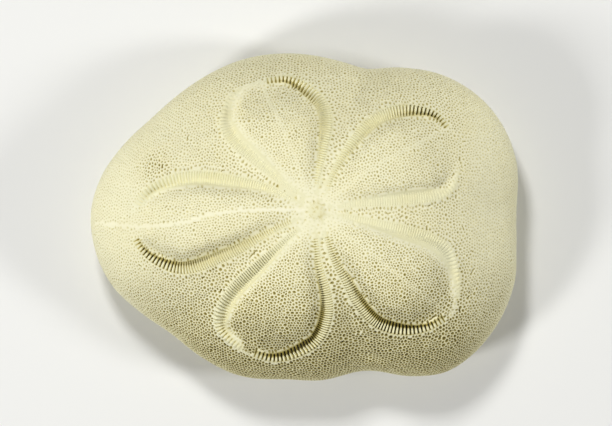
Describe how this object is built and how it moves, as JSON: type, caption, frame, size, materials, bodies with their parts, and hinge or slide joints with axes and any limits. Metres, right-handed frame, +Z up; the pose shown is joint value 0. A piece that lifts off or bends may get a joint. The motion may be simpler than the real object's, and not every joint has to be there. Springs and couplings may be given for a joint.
{
  "type": "sea biscuit test",
  "caption": "Cleaned shell of a sea biscuit: a thick, domed oval body with raised petals bordered by combed furrows, resting on its flat underside.",
  "frame": {"origin": "middle of the shell's box at the surface it rests on", "axes": "+Z up out of the petals, +X towards the rear of the animal, +Y towards its right side"},
  "size_m": [0.1252, 0.0958, 0.0432],
  "materials": {
    "calcite": "matte, finely pitted cream calcite"
  },
  "bodies": {
    "root": {"test": "calcite"}
  },
  "joints": []
}
